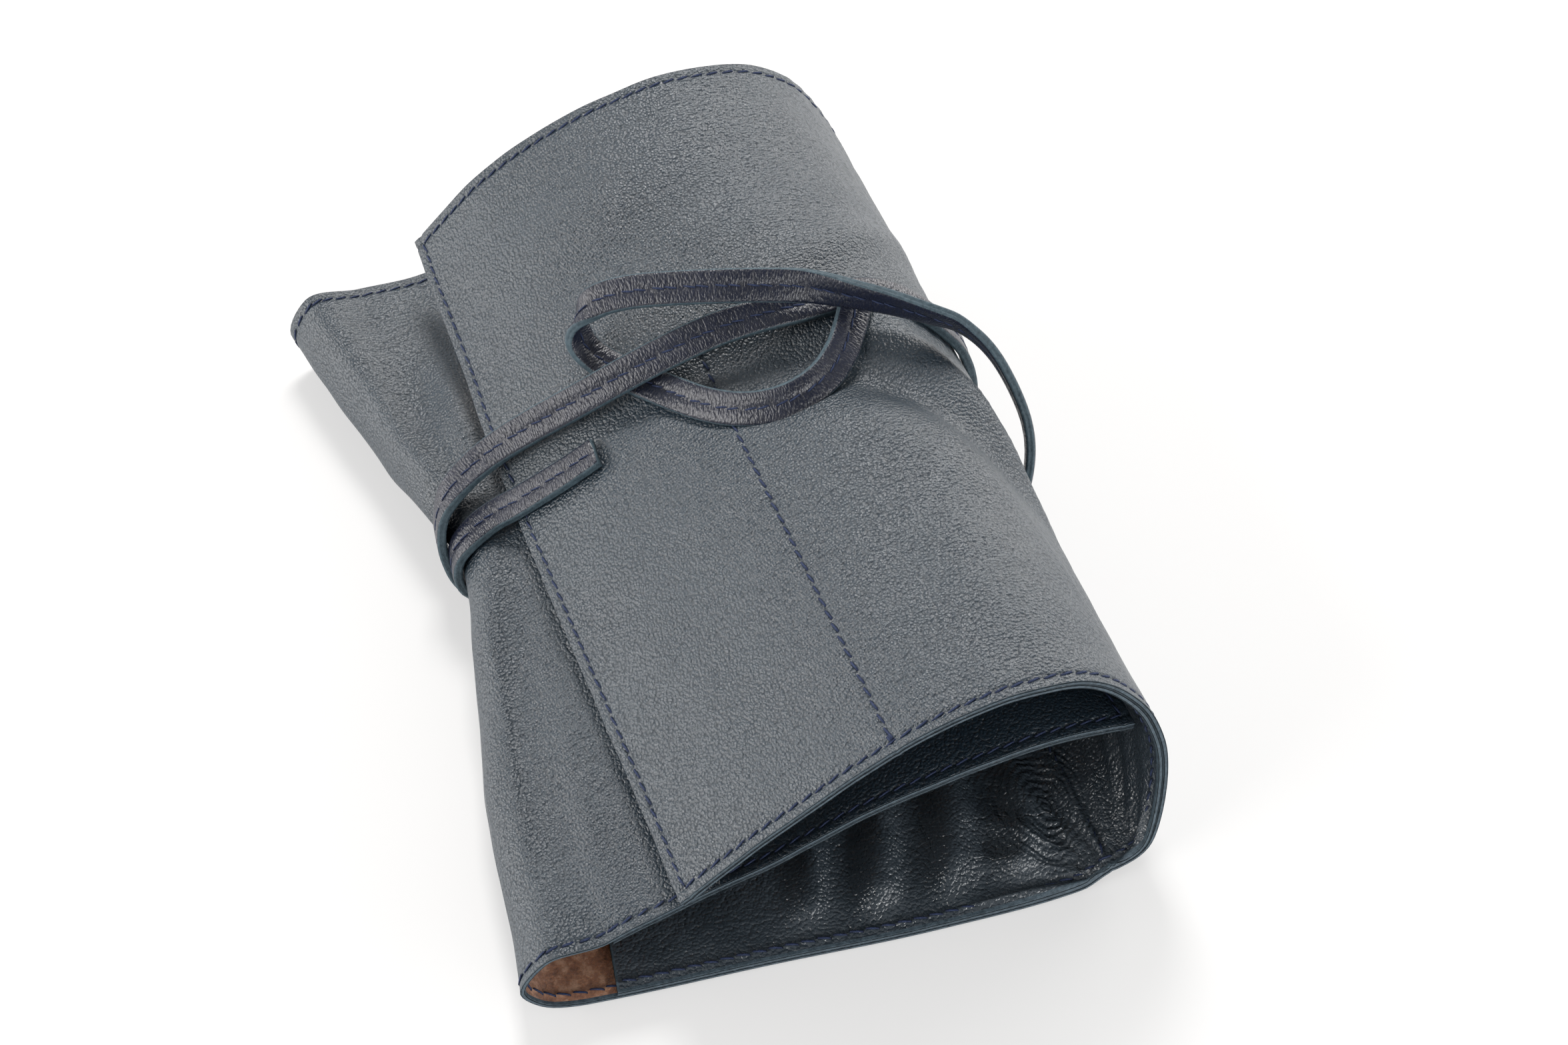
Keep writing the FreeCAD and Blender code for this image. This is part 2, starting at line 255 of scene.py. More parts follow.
def ripples(s, y, seed, wave):
    """Gentle uneven waves, about 1 high, from a few sines in seeded directions."""
    rng = np.random.default_rng(seed)
    total = np.zeros(np.broadcast(s, y).shape)
    for _ in range(SINES):
        angle, phase = rng.uniform(0, math.pi), rng.uniform(0, 2 * math.pi)
        length = wave * rng.uniform(0.7, 1.5)
        total += np.sin((s * math.cos(angle) + y * math.sin(angle)) * 2 * math.pi / length + phase)
    return total / math.sqrt(SINES)


def creases(s, y):
    """Dents and folds of the outer face, in millimetres, out of the roll."""
    h = sum(height * spot(s, y, *shape) for height, *shape in FOLDS)
    h += sum(height * ripples(s, y, seed, wave) for height, seed, wave in RIPPLES)
    side = between(s, *SIDE_WRINKLES)
    side = side * smooth((y - WRINKLES_FROM) / WRINKLES_RISE)
    lean = s + WRINKLE_LEAN * y + WRINKLE_SWAY * np.sin(y / SWAY_LENGTH)
    h += WRINKLE_HEIGHT * side * np.sin(lean * 2 * math.pi / WRINKLE_WAVE)
    return h * (1 - between(s, *ON_TABLE))


def seams_press(s, y):
    """How the stitching draws the leather in."""
    h = EDGE_SEAM_DEPTH * (groove(y - SEAM_INSET) + groove(SHEET_WIDTH - SEAM_INSET - y))
    h += EDGE_SEAM_DEPTH * (groove(s - SEAM_INSET) + groove(SPIRAL - SEAM_INSET - s))
    in_pockets = smooth((POCKET_DEPTH - y) / DIVIDER_FADE)
    for line in DIVIDERS.values():
        h += DIVIDER_DEPTH * groove(s - line) * in_pockets
    return h


def surface(s, y):
    """(points, outward normals) of the outer face with its creases."""
    s, y = np.broadcast_arrays(np.asarray(s, float), np.asarray(y, float))
    half = 0.5
    across = plain_face(s + half, y) - plain_face(s - half, y)
    lengthwise = plain_face(s, y + half) - plain_face(s, y - half)
    normal = np.cross(across, lengthwise)
    normal /= np.linalg.norm(normal, axis=-1, keepdims=True)
    relief = creases(s, y) + seams_press(s, y)
    return plain_face(s, y) + normal * relief[..., None], normal


def leather_points(s, y, lift):
    """Points off the outer face by lift, none of them under the table's top."""
    points, normal = surface(s, y)
    points = points + normal * np.asarray(lift, float)[..., None]
    points[..., 2] = np.maximum(points[..., 2], TABLE_GAP)
    return points


# ==================================================================================================
# Materials
# ==================================================================================================
COVER_DYE = (0.013, 0.028, 0.044), (0.020, 0.038, 0.056)
STRAP_DYE = (0.006, 0.009, 0.022), (0.012, 0.016, 0.036)
POCKET_DYE = (0.032, 0.044, 0.056), (0.054, 0.069, 0.084)
SUEDE_TUFTS = (0.25, 0.090, 0.038), (0.50, 0.21, 0.10), (0.78, 0.45, 0.28)
EDGE_DYE = (0.026, 0.042, 0.056), (0.105, 0.150, 0.185)
STRAP_EDGE_DYE = (0.030, 0.052, 0.068), (0.10, 0.150, 0.180)
THREAD_DYE = (0.020, 0.030, 0.070), (0.042, 0.060, 0.128)
# painted shade of the needle holes, put on the ends of the threads
NEEDLE_HOLE_SHADE = (0.005, 0.007, 0.016)
FLOOR_GREYS = (0.43, 0.43, 0.43), (0.45, 0.45, 0.45)
FLOOR_GLOW, FLOOR_GLOW_STRENGTH = (1.0, 0.995, 0.99, 1.0), 0.46
FULL_SHINE = 1.0               # the shader's specular level for glazed leather


class Nodes:
    """Short way to build a node tree. Scales are in waves or cells to the metre."""

    def __init__(self, name):
        self.material = bpy.data.materials.new(name)
        self.material.use_nodes = True
        self.tree = self.material.node_tree
        self.shader = self.tree.nodes["Principled BSDF"]
        self.coordinates = self.add("ShaderNodeTexCoord").outputs["Object"]

    def add(self, kind, inputs=None, **settings):
        node = self.tree.nodes.new(kind)
        for key, value in settings.items():
            setattr(node, key, value)
        for key, value in (inputs or {}).items():
            if isinstance(value, bpy.types.NodeSocket):
                self.tree.links.new(value, node.inputs[key])
            else:
                node.inputs[key].default_value = value
        return node

    def noise(self, scale, detail=4.0, roughness=0.55):
        inputs = {"Vector": self.coordinates, "Scale": scale, "Detail": detail, "Roughness": roughness}
        return self.add("ShaderNodeTexNoise", inputs).outputs["Fac"]

    def cells(self, scale, vector=None, feature="DISTANCE_TO_EDGE"):
        inputs = {"Vector": vector or self.coordinates, "Scale": scale}
        return self.add("ShaderNodeTexVoronoi", inputs, feature=feature).outputs["Distance"]

    def math(self, operation, a, b=0.0):
        return self.add("ShaderNodeMath", {0: a, 1: b}, operation=operation).outputs[0]

    def ramp(self, factor, *stops):
        node = self.add("ShaderNodeValToRGB", {"Fac": factor})
        elements = node.color_ramp.elements
        while len(elements) < len(stops):
            elements.new(0.5)
        for element, (position, colour) in zip(elements, stops):
            element.position = position
            element.color = (*colour, 1.0)
        return node.outputs["Color"]

    def range(self, value, low, high, to_low, to_high):
        """A value from low to high, stretched and held between to_low and to_high."""
        inputs = {"Value": value, "From Min": low, "From Max": high, "To Min": to_low, "To Max": to_high}
        return self.add("ShaderNodeMapRange", inputs).outputs["Result"]

    def added(self, height, more, share):
        """A height with a share of another one on top."""
        return self.math("ADD", height, self.math("MULTIPLY", more, share))

    def bumped(self, height, distance):
        """Gives the shader a relief of height 1 for distance in metres."""
        inputs = {"Height": height, "Distance": distance, "Strength": 1.0}
        self.set(Normal=self.add("ShaderNodeBump", inputs).outputs["Normal"])

    def set(self, **values):
        for key, value in values.items():
            socket = self.shader.inputs[key.replace("_", " ")]
            if isinstance(value, bpy.types.NodeSocket):
                self.tree.links.new(value, socket)
            else:
                socket.default_value = value


def warped(n, scale, amount):
    """Coordinates shaken by up to amount metres by a noise, so that cells aren't regular."""
    shake = n.add("ShaderNodeTexNoise", {"Vector": n.coordinates, "Scale": scale, "Detail": 2.0})
    inputs = {0: shake.outputs["Color"], "Scale": amount}
    scaled = n.add("ShaderNodeVectorMath", inputs, operation="SCALE")
    inputs = {0: n.coordinates, 1: scaled.outputs[0]}
    return n.add("ShaderNodeVectorMath", inputs, operation="ADD").outputs[0]


def mixed(n, factor, first, second):
    """A colour mixed of two, by factor."""
    node = n.add("ShaderNodeMix", data_type="RGBA")
    for index, value in ((0, factor), (6, first), (7, second)):
        if isinstance(value, bpy.types.NodeSocket):
            n.tree.links.new(value, node.inputs[index])
        else:
            node.inputs[index].default_value = (*value, 1.0)
    return node.outputs[2]


def grain_leather(name, dye, grain, depth, rough, shine=FULL_SHINE, place=None):
    """Pebble-grained leather: domed cells of two sizes, pores, uneven dye and shine, and painted shade in the
    valleys between the pebbles.

    grain is the scale of the pebbles, depth their relief in metres and rough the roughness of the raised
    parts. place names a point attribute to use as coordinates.
    """
    n = Nodes(name)
    if place:
        n.coordinates = n.add("ShaderNodeAttribute", attribute_name=place).outputs["Vector"]
    dark, light = dye
    where = warped(n, grain * 0.4, 0.5 / grain)
    pebble = n.cells(grain, where, "F1")
    small = n.cells(grain * 2.1, where, "F1")
    height = n.added(n.math("POWER", pebble, 2.0), n.math("POWER", small, 2.0), 0.3)
    height = n.math("SUBTRACT", 1.0, height)
    height = n.added(height, n.noise(grain * 0.22, detail=3.0, roughness=0.6), 0.35)
    height = n.added(height, n.noise(grain * 5, detail=2.0, roughness=0.7), 0.08)
    cloud = n.noise(38.0, detail=5.0, roughness=0.6)
    # painted shade: the dye is darkened in the valleys between the pebbles
    valley = n.range(pebble, 0.2, 0.8, 0.0, 0.45)
    valley_shade = tuple(c * 0.4 for c in dark)
    colour = mixed(n, valley, n.ramp(cloud, (0.32, dark), (0.72, light)), valley_shade)
    roughness = n.added(n.range(cloud, 0.3, 0.7, rough - 0.03, rough + 0.05), valley, 0.3)
    n.set(Base_Color=colour, Roughness=roughness, Specular_IOR_Level=shine)
    n.bumped(height, depth)
    return n.material


def smooth_pocket_leather():
    """Glazed leather, nearly black, with a fine grain, thin cracks and a whorl of creases in the corner."""
    n = Nodes("pocket_leather_glazed")
    grain = n.math("POWER", n.cells(1250.0, warped(n, 700.0, 0.0006), "F1"), 2.0)
    height = n.added(n.math("MULTIPLY", grain, -0.8), n.noise(180.0, detail=4.0, roughness=0.6), 2.2)
    cracks = n.math("MINIMUM", n.cells(95.0, warped(n, 70.0, 0.016)), 0.03)
    worn = n.range(n.noise(28.0, detail=2.0), 0.5, 0.62, 0.0, 14.0)
    height = n.added(height, cracks, worn)
    from_whorl = n.add("ShaderNodeAttribute", attribute_name="whorl_place").outputs["Vector"]
    far = n.add("ShaderNodeVectorMath", {0: from_whorl}, operation="LENGTH").outputs["Value"]
    shaken = n.added(far, n.noise(120.0, detail=2.0), 0.004)
    rings = n.math("SINE", n.math("MULTIPLY", shaken, WHORL_WAVE))
    height = n.added(height, rings, n.range(far, 0.007, 0.020, 0.45, 0.0))
    cloud = n.noise(60.0, detail=4.0)
    dark, light = POCKET_DYE
    colour = n.ramp(cloud, (0.35, dark), (0.7, light))
    roughness = n.range(cloud, 0.3, 0.7, 0.22, 0.33)
    n.set(Base_Color=colour, Roughness=roughness, Specular_IOR_Level=FULL_SHINE)
    n.bumped(height, 0.00035)
    return n.material


def suede():
    """The cover's flesh side: brown, matt and fibrous."""
    n = Nodes("suede_brown")
    fibres = n.noise(1500.0, detail=5.0, roughness=0.8)
    tufts = n.noise(400.0, detail=4.0, roughness=0.7)
    dark, middle, light = SUEDE_TUFTS
    n.set(Base_Color=n.ramp(tufts, (0.36, dark), (0.5, middle), (0.64, light)))
    n.set(Roughness=0.92, Specular_IOR_Level=0.15, Sheen_Weight=0.4, Sheen_Roughness=0.5)
    n.bumped(n.added(fibres, tufts, 1.2), 0.0012)
    return n.material


def dyed_edge(name, dye):
    """Cut edge, painted blue over the paler fibre."""
    n = Nodes(name)
    fibres = n.noise(900.0, detail=4.0, roughness=0.7)
    dark, light = dye
    middle = tuple((a + b) / 2 for a, b in zip(dark, light))
    colour = n.ramp(fibres, (0.3, dark), (0.55, middle), (0.8, light))
    n.set(Base_Color=colour, Roughness=0.6, Specular_IOR_Level=0.4)
    n.bumped(fibres, 0.0003)
    return n.material


def sewing_thread():
    n = Nodes("thread_navy")
    twist = n.noise(2600.0, detail=2.0, roughness=0.5)
    # the threads' ends are darkened with painted shade where they dive into the needle holes
    hole_shade = n.add("ShaderNodeAttribute", attribute_name="needle_hole_shade").outputs["Fac"]
    dark, light = THREAD_DYE
    thread = n.ramp(twist, (0.3, dark), (0.7, light))
    n.set(Base_Color=mixed(n, hole_shade, thread, NEEDLE_HOLE_SHADE), Roughness=0.6, Specular_IOR_Level=0.2)
    n.bumped(twist, 0.0002)
    return n.material


def floor_material():
    n = Nodes("stage_white")
    dark, light = FLOOR_GREYS
    tone = n.noise(2.0, detail=3.0, roughness=0.5)
    n.set(Base_Color=n.ramp(tone, (0.3, dark), (0.7, light)), Roughness=0.7)
    n.set(Emission_Color=FLOOR_GLOW, Emission_Strength=FLOOR_GLOW_STRENGTH)
    return n.material


COVER = grain_leather("cover_leather_grain", COVER_DYE, grain=1350.0, depth=0.00029, rough=0.30)
STRAP = grain_leather(
    "strap_leather_grain", STRAP_DYE, grain=1150.0, depth=0.00019, rough=0.26, shine=0.76, place="strap_place"
)
POCKET = smooth_pocket_leather()
SUEDE = suede()
EDGE = dyed_edge("edge_dye_cover", EDGE_DYE)
STRAP_EDGE = dyed_edge("edge_dye_strap", STRAP_EDGE_DYE)
THREAD = sewing_thread()


# ==================================================================================================
# Leather pieces
# ==================================================================================================
OUTER, INNER, CUT = 0, 1, 2    # places in a sheet's list of materials
ROUND_OFF = 0.28               # how much a cut edge is rounded on each face
STEP = 1.5                     # of the sheets' grids
BESIDE_SEAM = (-1.6, -1.0, -0.6, -0.3, 0.0, 0.3, 0.6, 1.0, 1.6)
BESIDE_END = (0.12, 0.3, 0.6)
LEAST_ROOM = 0.45              # between a place of the even grid and a closer set one


def mesh_object(name, points, faces, materials, face_material=None):
    mesh = bpy.data.meshes.new(name)
    mesh.from_pydata((np.asarray(points) * MM).tolist(), [], faces)
    for material in materials:
        mesh.materials.append(material)
    mesh.polygons.foreach_set("use_smooth", [True] * len(mesh.polygons))
    if face_material is not None:
        mesh.polygons.foreach_set("material_index", np.asarray(face_material, np.int32))
    mesh.validate()
    mesh.update()
    made = bpy.data.objects.new(name, mesh)
    bpy.context.collection.objects.link(made)
    return made


def graded(start, end, fine_at):
    """Places from start to end, about STEP apart, closer beside each place in fine_at and each end."""
    places = np.linspace(start, end, round((end - start) / STEP) + 1).tolist()
    close = [line + d for line in fine_at for d in BESIDE_SEAM]
    close += [start + d for d in BESIDE_END] + [end - d for d in BESIDE_END]
    close = [c for c in close if start < c < end]
    kept = [p for p in places if p in (start, end) or min(abs(p - c) for c in close) > LEAST_ROOM]
    return np.array(sorted(set(kept + close)))


def beside_cut(s, y, cuts):
    """Where the edge dye has run on to the inner face, close to a cut edge."""
    away = (s - s.min(), s.max() - s, y - y.min(), y.max() - y)
    return np.any([cut & (distance < DYE_RUN) for cut, distance in zip(cuts, away)], axis=0)


def corners(grid):
    """The four corners of each quad of a grid, going round it."""
    return grid[:-1, :-1], grid[1:, :-1], grid[1:, 1:], grid[:-1, 1:]


def quads(grid, flip=False):
    a, b, c, d = corners(grid)
    ring = (a, d, c, b) if flip else (a, b, c, d)
    return np.stack([corner.ravel() for corner in ring], axis=1)


def rim_of(shape, cuts):
    """Which points of a grid lie on a cut edge."""
    rim = np.zeros(shape, bool)
    for line, cut in zip((rim[0], rim[-1], rim[:, 0], rim[:, -1]), cuts):
        line |= cut
    return rim


def walls(number, below):
    """The quads between the two faces, along the four sides. below is the step to the inner face's points."""
    found = []
    sides = (number[0], False), (number[-1], True), (number[:, 0], True), (number[:, -1], False)
    for line, flip in sides:
        a, b = line[:-1], line[1:]
        ring = (a, b, b + below, a + below) if flip else (b, a, a + below, b + below)
        found.append(np.stack(ring, axis=1))
    return np.vstack(found)


def sheet_mesh(name, s_values, y_values, top, bottom, cuts, materials):
    """A thin sheet with an outer face, an inner face and rounded cut edges.

    top and bottom give the lift at (s, y) of each face. cuts says which of the four sides, (s start,
    s end, y start, y end), are real cut edges; at the others the next piece goes on.
    """
    s, y = np.meshgrid(s_values, y_values, indexing="ij")
    rim = rim_of(s.shape, cuts)
    outer = leather_points(s, y, top(s, y) - np.where(rim, ROUND_OFF, 0.0))
    inner = leather_points(s, y, bottom(s, y) + np.where(rim, ROUND_OFF, 0.0))
    number = np.arange(s.size).reshape(s.shape)
    side_walls = walls(number, s.size)
    faces = np.vstack([quads(number), quads(number + s.size, True), side_walls])

    a, b, c, d = corners(rim)
    rounded = ((a | c) & (b | d)).ravel()
    dyed = beside_cut(s, y, cuts)[:-1, :-1].ravel()
    kinds = [np.where(rounded, CUT, OUTER), np.where(rounded | dyed, CUT, INNER)]
    kinds += [np.full(len(side_walls), CUT)]
    points = np.vstack([outer.reshape(-1, 3), inner.reshape(-1, 3)])
    piece = mesh_object(name, points, faces.tolist(), materials, np.concatenate(kinds))
    joined = [line for line, cut in ((number[0], cuts[0]), (number[-1], cuts[1])) if not cut]
    keep_sharp(piece.data, [np.concatenate([line, line + s.size]) for line in joined])
    return piece


def keep_sharp(mesh, groups):
    """Edges inside a group of vertices stay sharp, so that shading runs on to the next piece."""
    ends = np.zeros(len(mesh.edges) * 2, np.int32)
    mesh.edges.foreach_get("vertices", ends)
    ends = ends.reshape(-1, 2)
    sharp = np.zeros(len(ends), bool)
    for group in groups:
        sharp |= np.isin(ends, group).all(axis=1)
    mesh.attributes.new("sharp_edge", "BOOLEAN", "EDGE").data.foreach_set("value", sharp)


def place(piece, part):
    """Hooks a piece of the base to the root body, and bakes the transform of any other piece."""
    if part == "base":
        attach(piece, "root")
        return piece
    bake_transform(piece)
    return piece


def in_plane(s):
    """The outer face at s, halfway across the leather, put in the plane of the joints; in metres."""
    x, _, z = plain_face(np.array(s), np.array(SHEET_WIDTH / 2))
    return (float(x) * MM, 0.0, float(z) * MM)


BLENDS = {
    "flap": ("shoulder", "flap", in_plane(FLAP_END), in_plane(FLAP_FLAT)),
    "shoulder": ("side", "shoulder", in_plane(SHOULDER_END), in_plane(FLAP_END)),
    "side": ("root", "side", in_plane(SIDE_END), in_plane(SHOULDER_END)),
}
PARTS = {
    "flap": (0.0, FLAP_END),
    "shoulder": (FLAP_END, SHOULDER_END),
    "side": (SHOULDER_END, SIDE_END),
    "base": (SIDE_END, SPIRAL),
}
# piece of the pocket leather, the part of the cover it lies in, and its start and end
POCKETS = [
    ("flap", "flap", 0.0, FLAP_END),
    ("shoulder", "shoulder", FLAP_END, SHOULDER_END),
    ("side", "side", SHOULDER_END, SIDE_END),
    ("base", "base", SIDE_END, BASE_POCKET_END),
    ("leaf", "base", LEAF_POCKET_START, SPIRAL),
]


def level(lift):
    """A face at the same lift all over."""
    return lambda s, y: np.full(s.shape, lift)


def seam_lines(s0, s1):
    """The seams that run across the spiral between s0 and s1."""
    lines = [SEAM_INSET, SPIRAL - SEAM_INSET] + list(DIVIDERS.values())
    return [line for line in lines if s0 < line < s1]


def cover_pieces():
    y_values = graded(0.0, SHEET_WIDTH, (SEAM_INSET, SHEET_WIDTH - SEAM_INSET))
    stands_for = {
        "flap": ["cover_flap"], "shoulder": ["cover_shoulder"],
        "side": ["cover_side"], "base": ["cover_base", "cover_leaf"],
    }
    for part, (s0, s1) in PARTS.items():
        cuts = (part == "flap", part == "base", True, True)
        s_values = graded(s0, s1, seam_lines(s0, s1))
        faces = level(0.0), level(-LEATHER)
        piece = sheet_mesh(f"cover_{part}_leather", s_values, y_values, *faces, cuts, [COVER, SUEDE, EDGE])
        place(piece, part)
        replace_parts(piece, *stands_for[part])


# the pocket leather is held by its seams and stands off the cover between them
HELD_BESIDE = 6                # how far from a seam across the spiral it comes free
FREE_FROM, FREE_RISE = 0.8, 9  # away from the near seam
FLATTER_FROM, FLATTER_RISE, FLATTER = 70, 45, 0.5  # towards the pockets' mouths
SLACK = 0.25                   # everywhere
PLEATED = (186, 12, 264, 18)   # the stretch with deep pleats: start, rise, end and fall
PLEAT_START, PLEAT_PITCH, PLEAT_DEPTH, PLEAT_SHARPNESS = 208, 17.5, 3.4, 1.4
WAVE_PITCH, WAVE_DEPTH, WAVE_IN_PLEATS = 6.3, 0.15, 0.25
WAVE_SWAY, WAVE_SWAY_LENGTH = 1.6, 8.0
PLEAT_LEAN, LEAN_REACH = 22, 30  # the pleats turn aside towards the near edge
FLAT_FROM, FLAT_RISE = 302, 10   # from here on the leather lies flat
# creases that fan out from the near end of the divider by the right-hand corner
FAN_DEPTH, FAN_WAVE, FAN_PHASE, FAN_BEHIND = 1.2, 18, 0.5, 3
FAN_REACH = (0, 6, 46, 30)     # from the divider's end: start, rise, end and fall
WHORL_SQUEEZE = 0.8


def pocket_pleats(s, y):
    """How far the pocket leather stands off the cover, between its seams."""
    free = smooth((y - SEAM_INSET - FREE_FROM) / FREE_RISE)
    free = free * (1 - FLATTER * smooth((y - FLATTER_FROM) / FLATTER_RISE))
    for line in DIVIDERS.values():
        free = free * smooth(np.abs(s - line) / HELD_BESIDE)
    free = free * between(s, SEAM_INSET, HELD_BESIDE, SPIRAL - SEAM_INSET, HELD_BESIDE)
    free = free * smooth((FLAT_FROM - s) / FLAT_RISE)
    lean = s + PLEAT_LEAN * (1 - np.exp(-y / LEAN_REACH))
    pleats = 0.5 + 0.5 * np.cos((lean - PLEAT_START) * 2 * math.pi / PLEAT_PITCH)
    sway = WAVE_SWAY * np.sin(y / WAVE_SWAY_LENGTH)
    waves = 0.5 + 0.5 * np.sin(lean * 2 * math.pi / WAVE_PITCH + sway)
    deep = between(s, *PLEATED)
    depth = SLACK + PLEAT_DEPTH * deep * pleats**PLEAT_SHARPNESS
    return free * (depth + (WAVE_DEPTH + WAVE_IN_PLEATS * deep) * waves**2)


def fan_creases(s, y):
    """Creases that run together at the near end of the divider by the right-hand corner."""
    aside, up = s - DIVIDERS["side"], y - SEAM_INSET
    way = np.arctan2(aside, up + FAN_BEHIND)
    rays = (0.5 + 0.5 * np.sin(way * FAN_WAVE + FAN_PHASE)) ** 2
    return FAN_DEPTH * between(np.hypot(aside, up), *FAN_REACH) * rays


def give_whorl_place(mesh, s_values, y_values):
    """Each point's place on the leather, in metres from the whorl."""
    s, y = np.meshgrid(s_values - WHORL[0], y_values - WHORL[1], indexing="ij")
    places = np.stack([s.ravel(), WHORL_SQUEEZE * y.ravel(), np.zeros(s.size)], axis=1) * MM
    values = np.tile(places, (2, 1)).astype(np.float32).ravel()
    mesh.attributes.new("whorl_place", "FLOAT_VECTOR", "POINT").data.foreach_set("vector", values)


def pocket_face(s, y):
    return POCKET_BOTTOM - pocket_pleats(s, y) - fan_creases(s, y)


def pocket_pieces():
    y_values = graded(0.0, POCKET_DEPTH, (SEAM_INSET,))
    for name, part, s0, s1 in POCKETS:
        cuts = (name in ("flap", "leaf"), part == "base", True, True)
        s_values = graded(s0, s1, seam_lines(s0, s1))
        faces = level(POCKET_TOP), pocket_face
        piece = sheet_mesh(f"pocket_{name}_leather", s_values, y_values, *faces, cuts, [POCKET, POCKET, EDGE])
        give_whorl_place(piece.data, s_values, y_values)
        place(piece, part)
        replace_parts(piece, f"pocket_{name}")


# ==================================================================================================
# Stitches
# ==================================================================================================
SIDES_OF_STITCH = 6
STITCH_FLATNESS = 0.8
STITCH_LIFT = 0.12
STITCH_CLEARANCE = 0.25        # from the table
BACKTACK_LENGTH, BACKTACK_SHIFT, BACKTACK_STEP = 1.9, 0.35, 0.2
KNOT_START, KNOT_END = 0.9, 1.0  # a divider's knots, from the near seam and from the pockets' mouths
# rings of a stitch: share of its length, rise, share of its radius, and how much painted shade of the
# needle's hole it takes
STITCH_RINGS = np.array([
    (-0.5, -0.36, 0.75, 1.0), (-0.38, 0.02, 1.0, 0.35), (0.0, 0.10, 1.08, 0.0),
    (0.38, 0.02, 1.0, 0.35), (0.5, -0.36, 0.75, 1.0),
])


def unit(v):
    return v / np.linalg.norm(v, axis=-1, keepdims=True)


def stitch_faces():
    n = SIDES_OF_STITCH
    around = [(k, (k + 1) % n, (k + 1) % n + n, k + n) for k in range(n)]
    return np.array([np.add(face, ring * n) for ring in range(len(STITCH_RINGS) - 1) for face in around])


def stitches_mesh(name, centres, ways, ups, lengths=STITCH_LENGTH, radius=STITCH_RADIUS):
    """One mesh of short threads, whose ends dive into the leather."""
    centres, ways, ups = np.vstack(centres), unit(np.vstack(ways)), np.vstack(ups)
    ups = unit(ups - ways * np.sum(ups * ways, axis=1, keepdims=True))
    sides = np.cross(ways, ups)
    lengths = np.broadcast_to(lengths, len(centres))[:, None, None]
    where, rise, size = (STITCH_RINGS[:, k][None, :, None] for k in range(3))
    middles = centres[:, None] + ways[:, None] * where * lengths + ups[:, None] * rise
    angles = np.arange(SIDES_OF_STITCH) * 2 * math.pi / SIDES_OF_STITCH
    round_it = sides[:, None] * np.cos(angles)[:, None]
    round_it = round_it + STITCH_FLATNESS * ups[:, None] * np.sin(angles)[:, None]
    points = middles[:, :, None] + radius * size[..., None] * round_it[:, None]
    each = len(STITCH_RINGS) * SIDES_OF_STITCH
    faces = stitch_faces()[None] + each * np.arange(len(centres))[:, None, None]
    piece = mesh_object(name, points.reshape(-1, 3), faces.reshape(-1, 4).tolist(), [THREAD])
    # painted shade of the needle holes, strongest at the ends that dive into the leather
    shade = np.tile(np.repeat(STITCH_RINGS[:, 3], SIDES_OF_STITCH), len(centres)).astype(np.float32)
    piece.data.attributes.new("needle_hole_shade", "FLOAT", "POINT").data.foreach_set("value", shade)
    return piece


def leather_stitches(name, rows):
    """Stitches from rows of (s, y, direction in s and in y, 1 if outside, lift of the inner face, length)."""
    s, y, ds, dy, outside, inner, length = np.array(rows, float).T
    size = np.hypot(ds, dy)
    ds, dy = (ds - STITCH_SLANT * dy) / size, (dy + STITCH_SLANT * ds) / size
    here, normal = surface(s, y)
    ways = plain_face(s + ds, y + dy) - plain_face(s - ds, y - dy)
    lift = np.where(outside > 0, STITCH_LIFT, inner - STITCH_LIFT)[:, None]
    up = np.where(outside[:, None] > 0, normal, -normal)
    centres = here + normal * lift
    centres[:, 2] = np.maximum(centres[:, 2], STITCH_CLEARANCE)
    return stitches_mesh(name, [centres], [ways], [up], length)


def seam_along_s(y, s0, s1, inner_lift):
    places = np.arange(s0 + STITCH_PITCH / 2, s1, STITCH_PITCH)
    return [(s, y, 1, 0, side, inner_lift(s), STITCH_LENGTH) for s in places for side in (1, 0)]


def seam_along_y(s, y0, y1, inner_lift):
    count = round((y1 - y0) / STITCH_PITCH)
    places = y0 + (np.arange(count) + 0.5) * (y1 - y0) / count
    return [(s, y, 0, 1, side, inner_lift(y), STITCH_LENGTH) for y in places for side in (1, 0)]


def backtack(s, y):
    """A knot of thread where a seam ends."""
    places = [(s + BACKTACK_SHIFT * (k - 1), y + BACKTACK_STEP * k) for k in range(3)]
    return [(*here, 0, 1, 1, 0, BACKTACK_LENGTH) for here in places]


def near_inner(s):
    """The lift of the inner face under the near seam."""
    bare = BASE_POCKET_END < s < LEAF_POCKET_START
    return -LEATHER if bare else POCKET_BOTTOM


def free_edge_inner(y):
    """The lift of the inner face under the seams of the two free edges."""
    return POCKET_BOTTOM if y < POCKET_DEPTH else -LEATHER


def edge_threads():
    far_y = SHEET_WIDTH - SEAM_INSET
    last_s = SPIRAL - SEAM_INSET
    for part, (s0, s1) in PARTS.items():
        s0 = SEAM_INSET if part == "flap" else s0
        s1 = last_s if part == "base" else s1
        nodes = ["base", "leaf"] if part == "base" else [part]
        for side, y, inner in (("near", SEAM_INSET, near_inner), ("far", far_y, lambda s: -LEATHER)):
            piece = leather_stitches(f"{side}_stitches_{part}", seam_along_s(y, s0, s1, inner))
            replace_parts(place(piece, part), *(f"{side}_seam_{node}" for node in nodes))
    for name, s, part in (("flap_edge", SEAM_INSET, "flap"), ("leaf_edge", last_s, "base")):
        piece = leather_stitches(f"{name}_stitches", seam_along_y(s, SEAM_INSET, far_y, free_edge_inner))
        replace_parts(place(piece, part), f"{name}_seam")


